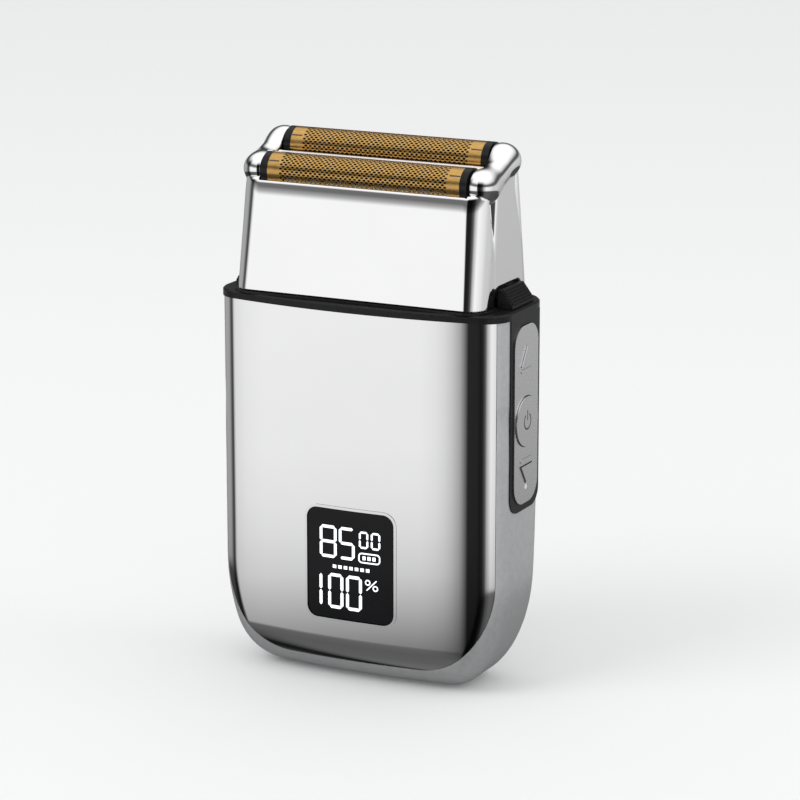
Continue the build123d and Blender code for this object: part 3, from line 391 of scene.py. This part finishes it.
figures = digit("8", -6.9, -3.0, 32.9, 26.1, 0.62) + digit("5", -2.5, 1.1, 32.9, 26.1, 0.62)
figures += digit("0", 2.05, 4.15, 32.5, 28.9, 0.42) + digit("0", 4.7, 6.8, 32.5, 28.9, 0.42)
figures += digit("1", -7.75, -6.35, 22.9, 15.5, 0.66)
figures += digit("0", -5.0, -1.5, 22.9, 15.5, 0.66) + digit("0", -0.9, 2.7, 22.9, 15.5, 0.66)
figures += ring(4.0, 21.9, 0.62, 0.62, 0.26) + ring(5.7, 20.8, 0.62, 0.62, 0.26) + [bar(3.7, 20.2, 6.0, 22.5, 0.26)]
figures += [[(-3.9 + 1.25 * k, 24.05), (-3.1 + 1.25 * k, 24.05), (-3.1 + 1.25 * k, 24.75), (-3.9 + 1.25 * k, 24.75)]
            for k in range(7)]
pill = rounded(4.9, 2.2, 0.8, 5)
inner_pill = rounded(4.3, 1.6, 0.5, 5)
for k in range(len(pill)):
    after = (k + 1) % len(pill)
    figures.append([(4.35 + a, 26.95 + b) for a, b in (pill[k], pill[after], inner_pill[after], inner_pill[k])])
figures += [[(2.85 + 1.1 * k, 26.55), (3.55 + 1.1 * k, 26.55), (3.55 + 1.1 * k, 27.35), (2.85 + 1.1 * k, 27.35)]
            for k in range(3)]
prisms("display_figures", figures, on_window, 0.02, GLOW, "housing")

# ---------------------------------------------------------------- foils
ROW = 0.46
PITCH = 1.04
HOLE_LONG = 0.36
HOLE_HIGH = 0.218
COLUMNS = 36
SHEET_SIDE = -1.0
ROWS = 31
cos_cant, sin_cant = math.cos(CANT), math.sin(CANT)


def foil_point(x, s, way, grow=0.0):
    """A point on a foil's sheet: along it, and around it from the front leg's foot."""
    radius = FOIL_RADIUS + grow
    y = way * FOIL_PITCH / 2 * cos_cant
    z = PLANE_Z + way * FOIL_PITCH / 2 * sin_cant
    leg = FOIL_DROP - FOIL_RADIUS * sin_cant
    arc = math.pi * FOIL_RADIUS
    if s <= leg:
        return x, y - radius * cos_cant, z - FOIL_DROP + s
    if s <= leg + arc:
        angle = math.pi + CANT - (s - leg) / FOIL_RADIUS
        return x, y + radius * math.cos(angle), z + radius * math.sin(angle)
    return x, y + radius * cos_cant, z + FOIL_RADIUS * sin_cant - (s - leg - arc)


def perforated_sheet(name, way, node, body):
    """A foil with its staggered round holes between two plain end bands."""
    verts, index, faces = [], {}, []

    def at(x, s):
        key = (round(x * 1000), round(s * 1000))
        if key not in index:
            index[key] = len(verts)
            verts.append(foil_point(x, s, way))
        return index[key]

    first, half = 0.4, COLUMNS * PITCH / 2
    whole = 2 * FOIL_DROP + math.pi * FOIL_RADIUS
    for row in range(ROWS):
        low = first + row * ROW
        high, middle = low + ROW, low + ROW / 2
        shift = (row % 2) * PITCH / 2
        for column in range(COLUMNS - row % 2):
            left = -half + shift + column * PITCH
            centre, right = left + PITCH / 2, left + PITCH
            rim = [(right, middle), (right, high), (centre, high), (left, high),
                   (left, middle), (left, low), (centre, low), (right, low)]
            hole = [(centre + HOLE_LONG * math.cos(k * math.pi / 4), middle + HOLE_HIGH * math.sin(k * math.pi / 4))
                    for k in range(8)]
            for k in range(8):
                after = (k + 1) % 8
                faces.append((at(*rim[k]), at(*rim[after]), at(*hole[after]), at(*hole[k])))
        if row % 2:
            for side in (-1, 1):
                x0, x1 = sorted((side * half, side * (half - PITCH / 2)))
                faces.append((at(x0, low), at(x1, low), at(x1, middle), at(x0, middle)))
                faces.append((at(x0, middle), at(x1, middle), at(x1, high), at(x0, high)))
    top = first + ROWS * ROW
    columns = [-half + k * PITCH / 2 for k in range(2 * COLUMNS + 1)]
    for x0, x1 in zip(columns, columns[1:]):
        faces.append((at(x0, 0), at(x1, 0), at(x1, first), at(x0, first)))
        faces.append((at(x0, top), at(x1, top), at(x1, whole), at(x0, whole)))
    steps = [0] + [first + ROW / 2 * k for k in range(2 * ROWS + 1)] + [whole]
    for side in (-1, 1):
        x0, x1 = sorted((side * half, side * FOIL_HALF))
        for s0, s1 in zip(steps, steps[1:]):
            faces.append((at(x0, s0), at(x1, s0), at(x1, s1), at(x0, s1)))
    mesh = bpy.data.meshes.new(name)
    mesh.from_pydata([tuple(MM * c for c in v) for v in verts], [], faces)
    for polygon in mesh.polygons:
        polygon.use_smooth = True
    mesh.materials.append(GOLD)
    obj = bpy.data.objects.new(name, mesh)
    bpy.context.scene.collection.objects.link(obj)
    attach(obj, body)
    modifier(obj, "SOLIDIFY", thickness=0.08 * MM, offset=SHEET_SIDE)
    modifier(obj, "EDGE_SPLIT", split_angle=math.radians(40))
    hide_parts(node)
    return obj


for name, way in (("front", -1), ("rear", 1)):
    unit = name + "_foil_unit"
    perforated_sheet(name + "_foil_sheet", way, name + "_foil", unit)
    leg = FOIL_DROP - FOIL_RADIUS * sin_cant
    # Painted reflection: a thin dark strip across each foil's plain end band, where the bend reflects dark; the sheet
    # itself has no fold there.
    dark_reflection_at = leg + FOIL_RADIUS * (math.pi + CANT - math.atan2(1.77, -2.37))
    dark_reflection_bands = []
    for side in (-1, 1):
        x0, x1 = sorted((side * 18.9, side * 21.2))
        dark_reflection_bands.append([(x0, dark_reflection_at), (x1, dark_reflection_at), (x1, dark_reflection_at + 0.28), (x0, dark_reflection_at + 0.28)])
    prisms(name + "_foil_painted_dark_reflection", dark_reflection_bands, lambda a, b, d, w=way: foil_point(a, b, w, d), 0.02, DARK_STEEL_AND_SHADE, unit)


# ---------------------------------------------------------------- head
def smooth_max(a, b, k):
    """The larger of two distances, with the edge between them rounded."""
    h = np.clip(0.5 + 0.5 * (a - b) / k, 0, 1)
    return b + (a - b) * h + k * h * (1 - h)


def smooth_min(a, b, k):
    return -smooth_max(-a, -b, k)


def plate_distance(x, y, half_x, half_y, corner):
    across, along = np.abs(x) - half_x + corner, np.abs(y) - half_y + corner
    outside = np.hypot(np.maximum(across, 0), np.maximum(along, 0))
    return outside + np.minimum(np.maximum(across, along), 0) - corner


HEAD_FOOT = 79.3
LOBE_X, LOBE_RADIUS, SADDLE = 24.1, 3.42, 2.6
OPEN_HALF = 22.95
FLANK = math.radians(22)


def head_field(x, y, z):
    """Signed distance of the head's chrome form, in millimetres."""
    side = np.abs(x)
    above = -(y * sin_cant) + (z - PLANE_Z) * cos_cant
    along = y * cos_cant + (z - PLANE_Z) * sin_cant
    share = np.clip((z - HEAD_FOOT) / (PLANE_Z + y * math.tan(CANT) - HEAD_FOOT), 0, 1.1)
    half_x = 27.7 - 0.2 * share
    half_y = 12.5 - 3.17 * share - 0.035 * np.clip(3 + above, 0, 3) ** 2
    corner = 4.2 + 0.8 * share
    wall = plate_distance(x, y, half_x, half_y, corner)
    body = smooth_max(wall, above, 0.6)
    # A petal facet on each side stands between two funnel grooves that open upwards
    rise = np.clip((z - 88.5) / 13, 0, 1)
    deep = 2.6 * rise
    for edge, way in ((-3.9 - 1.6 * (1 - rise), 1), (4.4 + 4.0 * (1 - rise), -1)):
        before = (y - edge) * way * math.cos(FLANK) - (side - 27.55) * math.sin(FLANK)
        floor = 27.8 - deep * (1 + before / (0.6 + 3.0 * rise)) - side
        groove = smooth_max(before, smooth_max(floor, above + 1.0, 0.4), 0.3)
        body = smooth_max(body, -groove, 0.5)
    lobes = []
    for way in (-1, 1):
        radius = LOBE_RADIUS - (0.25 if way < 0 else 0.0)
        lobes.append(np.sqrt((side - LOBE_X) ** 2 + (along - way * FOIL_PITCH / 2) ** 2 + above**2) - radius)
    run = np.clip(along, -FOIL_PITCH / 2, FOIL_PITCH / 2)
    ridge = np.sqrt((side - LOBE_X - 1.1) ** 2 + (along - run) ** 2 + above**2) - SADDLE
    roll = smooth_min(smooth_min(lobes[0], lobes[1], 1.2), ridge, 2.2)
    form = smooth_min(body, roll, 0.35)
    # Openings: the foils' channel above the plate, a slot under each foil, the hollow and the side notches
    form = smooth_max(form, -smooth_max(side - OPEN_HALF, 0.0 - above, 0.2), 0.25)
    for way in (-1, 1):
        middle = way * 4.977 - 0.114
        slot_form = np.maximum(side - OPEN_HALF, np.abs(y - middle) - 3.62)
        form = smooth_max(form, -slot_form, 0.3)
    hollow = np.maximum(np.maximum(wall + 0.9, side - 24.6), above + 1.6)
    form = np.maximum(form, -hollow)
    notch = plate_distance(y - 1.0, z - 79.2, 6.2, 3.7, 2.0)
    form = smooth_max(form, -notch, 0.4)
    return np.maximum(form, HEAD_FOOT - z)


def slope_of(field, points, reach=0.02):
    """Unit gradient and its length at some points."""
    parts = []
    for axis in range(3):
        step = np.zeros(3)
        step[axis] = reach
        parts.append((field(*(points + step).T) - field(*(points - step).T)) / (2 * reach))
    return np.stack(parts, axis=1)


def surface_net(field, low, high, step):
    """Vertices and quads of a field's zero surface, drawn onto it by Newton's method."""
    axes = [np.arange(low[k], high[k] + step, step) for k in range(3)]
    values = field(*np.meshgrid(*axes, indexing="ij"))
    inside = values < 0
    shape = tuple(n - 1 for n in values.shape)
    total, count = np.zeros(shape + (3,)), np.zeros(shape)
    for axis in range(3):
        first, second = (k for k in range(3) if k != axis)
        for corner in ((0, 0), (0, 1), (1, 0), (1, 1)):
            start = [0, 0, 0]
            start[first], start[second] = corner
            end = list(start)
            end[axis] = 1
            a = values[tuple(slice(o, o + n) for o, n in zip(start, shape))]
            b = values[tuple(slice(o, o + n) for o, n in zip(end, shape))]
            cross = (a < 0) != (b < 0)
            share = np.where(cross, a / np.where(cross, a - b, 1), 0)
            for k in range(3):
                total[..., k] += np.where(cross, start[k] + (share if k == axis else 0), 0)
            count += cross
    active = count > 0
    index = np.full(shape, -1)
    index[active] = np.arange(active.sum())
    cells = np.argwhere(active)
    points = (cells + total[active] / count[active][:, None]) * step + np.array(low)
    quads = []
    for axis in range(3):
        first, second = (k for k in range(3) if k != axis)
        a = [slice(None)] * 3
        b = [slice(None)] * 3
        a[axis], b[axis] = slice(0, -1), slice(1, None)
        change = inside[tuple(a)] != inside[tuple(b)]
        spots = np.argwhere(change)
        keep = (spots[:, first] > 0) & (spots[:, second] > 0)
        keep &= (spots[:, first] < shape[first]) & (spots[:, second] < shape[second])
        spots = spots[keep]
        ring_cells = []
        for back in ((1, 1), (0, 1), (0, 0), (1, 0)):
            cell = spots.copy()
            cell[:, first] -= back[0]
            cell[:, second] -= back[1]
            ring_cells.append(index[tuple(cell.T)])
        quads.append(np.stack(ring_cells, axis=1))
    for _ in range(4):
        slope = slope_of(field, points)
        move = field(*points.T)[:, None] * slope / np.maximum((slope**2).sum(axis=1), 0.05)[:, None]
        points = points - np.clip(move, -step, step)
    return points, np.concatenate(quads)


points, quads = surface_net(head_field, (-28.7, -13.3, 78.6), (28.7, 13.3, 111.0), 0.27)
slope = slope_of(head_field, points)
slope /= np.linalg.norm(slope, axis=1)[:, None]


def painted_shade_lining(centres):
    """Which faces belong to the inside, coloured dark as painted shade, rather than the chrome outside."""
    x, y, z = centres.T
    above = -(y * sin_cant) + (z - PLANE_Z) * cos_cant
    share = np.clip((z - HEAD_FOOT) / (PLANE_Z + y * math.tan(CANT) - HEAD_FOOT), 0, 1.1)
    wall = plate_distance(x, y, 27.7 - 0.2 * share, 12.5 - 3.17 * share, 4.2 + 0.8 * share)
    return (wall < -0.5) & (above < -0.3) & (np.abs(x) < 24.9)


def sheet_of(name, faces, material):
    """One part of the head's surface, with the field's own normals."""
    used, back = np.unique(faces, return_inverse=True)
    mesh = bpy.data.meshes.new(name)
    mesh.from_pydata((points[used] * MM).tolist(), [], back.reshape(faces.shape).tolist())
    for polygon in mesh.polygons:
        polygon.use_smooth = True
    mesh.normals_split_custom_set_from_vertices(slope[used].tolist())
    mesh.materials.append(material)
    obj = bpy.data.objects.new(name, mesh)
    bpy.context.scene.collection.objects.link(obj)
    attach(obj, "head")
    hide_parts("head_frame")


corners = points[quads]
facing = np.cross(corners[:, 2] - corners[:, 0], corners[:, 3] - corners[:, 1])
flip = (facing * slope[quads].sum(axis=1)).sum(axis=1) < 0
quads[flip] = quads[flip][:, ::-1]
# Painted shade: faces inside the head's hollow take a dark colour in place of chrome, standing in for the shade there.
shaded_inside = painted_shade_lining(corners.mean(axis=1))
sheet_of("head_skin", quads[~shaded_inside], CHROME)
sheet_of("painted_shade_lining", quads[shaded_inside], DARK_PLASTIC_AND_SHADE)

# ---------------------------------------------------------------- button icons and grips
POWER_Z = 55.5
KEY_FACE = 32.6


def on_key(y, z, out):
    return KEY_FACE + out, y, z


# Painted shade: the embossed power symbol is drawn as a dark film on the key, standing in for the shade along its
# raised edges.
symbol = ring(0, POWER_Z, 1.75, 1.75, 0.34, start=122, turn=296, steps=28)
symbol.append([(-0.17, POWER_Z + 0.2), (0.17, POWER_Z + 0.2), (0.17, POWER_Z + 2.3), (-0.17, POWER_Z + 2.3)])
prisms("power_symbol", symbol, lambda a, b, d: on_key(a, b, d - 0.01), 0.013, DARK_STEEL_AND_SHADE, "power_key")
for side, label in ((1, "right"), (-1, "left")):
    body = "release_" + label
    ribs = []
    for k in range(6):
        share = (k + 0.5) / 6
        x = 31.0 - share * (31.0 - 28.65)
        z = 79.45 + share * (82.5 - 79.45)
        ribs.append([(x - 0.02, z + 0.0), (x + 0.16, z + 0.14), (x - 0.02, z + 0.30), (x - 0.2, z + 0.2)])
    wide = 9.6
    prisms(
        "release_ribs_" + label, ribs,
        lambda a, b, d, s=side: (s * a, 1.0 - wide / 2 + d, b), wide, BLACK, body,
    )

# ---------------------------------------------------------------- springs
# Each coil stands between the body it stands on and the one it pushes, and is copied out of its node as it is: node,
# bodies, axis, foot and side
SPRINGS = [
    ("release_spring_left", "housing", "release_left", 0, -23.12, 0),
    ("release_spring_right", "housing", "release_right", 0, 23.12, 0),
    ("bridge_springs", "head", "bridge", 0, -19.88, -1),
    ("bridge_springs", "head", "bridge", 0, 19.88, 1),
    ("front_foil_springs", "head", "front_foil_unit", 2, 90.72, 0),
    ("rear_foil_springs", "head", "rear_foil_unit", 2, 90.72, 0),
    ("front_cutter_spring", "bridge", "front_cutter", 2, 90.72, 0),
    ("rear_cutter_spring", "bridge", "rear_cutter", 2, 90.72, 0),
]
for node_name, foot_body, pushed_body, axis, foot, half in SPRINGS:
    node = NODES[node_name]
    mesh = node.data.copy()
    mesh.transform(node.matrix_world)
    if half:
        coil = bmesh.new()
        coil.from_mesh(mesh)
        bmesh.ops.delete(coil, geom=[v for v in coil.verts if v.co.x * half < 0], context="VERTS")
        coil.to_mesh(mesh)
        coil.free()
    name = node_name + {-1: "_live_left", 0: "_live", 1: "_live_right"}[half]
    mesh.name = name
    spring = bpy.data.objects.new(name, mesh)
    bpy.context.scene.collection.objects.link(spring)
    ends = [min(v.co[axis] for v in mesh.vertices), max(v.co[axis] for v in mesh.vertices)]
    ends.sort(key=lambda end: abs(end - foot * MM))
    middle = [sum(v.co[k] for v in mesh.vertices) / len(mesh.vertices) for k in range(3)]
    start, end = list(middle), list(middle)
    start[axis], end[axis] = ends
    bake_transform(spring)
    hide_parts(node_name)

# ---------------------------------------------------------------- camera
azimuth = math.radians(26.15)
camera_data = bpy.data.cameras.new("camera")
camera = bpy.data.objects.new("camera", camera_data)
bpy.context.scene.collection.objects.link(camera)
camera_data.sensor_width = 36.0
camera_data.lens = 151.665
camera_data.clip_start = 0.01
camera.location = (0.29680, -0.59587, 0.22127)
target = Vector((0.00381 * math.cos(azimuth), 0.00381 * math.sin(azimuth), 0.05628))
camera.rotation_euler = (target - camera.location).to_track_quat("-Z", "Y").to_euler()
bpy.context.scene.camera = camera

# ---------------------------------------------------------------- floor and light
floor_mesh = bpy.data.meshes.new("floor")
floor_mesh.from_pydata([(-4, -4, 0), (4, -4, 0), (4, 4, 0), (-4, 4, 0)], [], [(0, 1, 2, 3)])
floor = bpy.data.objects.new("floor", floor_mesh)
bpy.context.scene.collection.objects.link(floor)
floor_mesh.materials.append(principled("pale_floor", (0.93, 0.93, 0.93), roughness=0.9)[0])
floor.visible_glossy = False
floor.visible_shadow = False

world = bpy.data.worlds.new("studio")
bpy.context.scene.world = world
world.use_nodes = True
tree = world.node_tree
tree.nodes.clear()


def world_node(kind, **inputs):
    node = tree.nodes.new(kind)
    for key, value in inputs.items():
        node.inputs[int(key[1:])].default_value = value
    return node


def math_node(operation, first, second=None):
    node = tree.nodes.new("ShaderNodeMath")
    node.operation = operation
    for socket, value in zip(node.inputs, (first, second)):
        if value is None:
            continue
        if isinstance(value, (int, float)):
            socket.default_value = value
        else:
            tree.links.new(value, socket)
    return node.outputs[0]


def ramp_node(value, stops, low, high):
    """Brightness against an angle in degrees, as (angle, brightness) stops."""
    node = tree.nodes.new("ShaderNodeValToRGB")
    share = math_node("DIVIDE", math_node("SUBTRACT", value, math.radians(low)), math.radians(high - low))
    tree.links.new(share, node.inputs["Fac"])
    ramp = node.color_ramp
    while len(ramp.elements) > 1:
        ramp.elements.remove(ramp.elements[-1])
    for number, (angle, bright) in enumerate(stops):
        place = (angle - low) / (high - low)
        stop = ramp.elements[0] if number == 0 else ramp.elements.new(place)
        stop.position = place
        stop.color = (bright, bright, bright, 1.0)
    return node.outputs["Color"]


direction = tree.nodes.new("ShaderNodeTexCoord").outputs["Generated"]
split = tree.nodes.new("ShaderNodeSeparateXYZ")
tree.links.new(direction, split.inputs[0])
bearing = math_node("ARCTAN2", split.outputs["X"], math_node("MULTIPLY", split.outputs["Y"], -1.0))
height = math_node("ARCSINE", split.outputs["Z"])
BEARINGS = [
    (-180, 0.40), (-140, 0.24), (-110, 0.36), (-85, 0.32), (-70, 0.06), (-62, 0.07), (-54, 0.55), (-48, 0.80),
    (-44, 0.85), (-14, 0.84), (-11.5, 0.79), (-9.2, 0.68), (-7.8, 0.50), (-6.6, 0.32), (-5.8, 0.02), (4, 0.01),
    (16, 0.02), (26, 0.10), (34, 0.42), (50, 0.85), (80, 0.70), (100, 0.55), (125, 0.55), (150, 0.50), (180, 0.40),
]
HEIGHTS = [
    (-90, 0.22), (-50, 0.13), (-30, 0.12), (-19, 0.14), (-18.2, 0.20), (-17.7, 0.40), (-17.3, 0.62), (-16.8, 0.76),
    (-16.0, 0.90), (-15.0, 0.985), (-13.8, 1.0), (-10, 1.08), (-3, 1.12), (6, 1.12), (10, 0.5), (14, 0.18), (22, 0.18), (30, 0.85), (38, 1.15), (55, 1.2), (90, 1.2),
]
around = ramp_node(bearing, BEARINGS, -180, 180)
upward = ramp_node(height, HEIGHTS, -90, 90)
overhead = ramp_node(height, [(-90, 0), (28, 0), (50, 1), (90, 1)], -90, 90)
blend = tree.nodes.new("ShaderNodeMix")
blend.data_type = "RGBA"
tree.links.new(overhead, blend.inputs["Factor"])
tree.links.new(around, blend.inputs[6])
blend.inputs[7].default_value = (0.9, 0.9, 0.9, 1)
lit = tree.nodes.new("ShaderNodeMix")
lit.data_type = "RGBA"
lit.blend_type = "MULTIPLY"
lit.inputs["Factor"].default_value = 1.0
tree.links.new(blend.outputs[2], lit.inputs[6])
tree.links.new(upward, lit.inputs[7])
mirrored = tree.nodes.new("ShaderNodeBackground")
tree.links.new(lit.outputs[2], mirrored.inputs["Color"])
plain = tree.nodes.new("ShaderNodeBackground")
plain.inputs["Color"].default_value = (0.95, 0.955, 0.96, 1)
plain.inputs["Strength"].default_value = 0.9
rays = tree.nodes.new("ShaderNodeLightPath")
choose = tree.nodes.new("ShaderNodeMixShader")
tree.links.new(rays.outputs["Is Glossy Ray"], choose.inputs["Fac"])
tree.links.new(plain.outputs[0], choose.inputs[1])
tree.links.new(mirrored.outputs[0], choose.inputs[2])
output = tree.nodes.new("ShaderNodeOutputWorld")
tree.links.new(choose.outputs[0], output.inputs["Surface"])


def soft_light(name, place, size, power):
    data = bpy.data.lights.new(name, "AREA")
    data.size = size
    data.energy = power
    light = bpy.data.objects.new(name, data)
    bpy.context.scene.collection.objects.link(light)
    light.location = place
    light.rotation_euler = (Vector((0, 0, 0.05)) - light.location).to_track_quat("-Z", "Y").to_euler()
    light.visible_glossy = False
    return light


soft_light("key", (-0.5, -0.7, 0.9), 0.6, 3.0)
soft_light("fill", (0.9, 0.2, 0.7), 0.6, 1.2)
bpy.context.scene.view_settings.view_transform = "Standard"
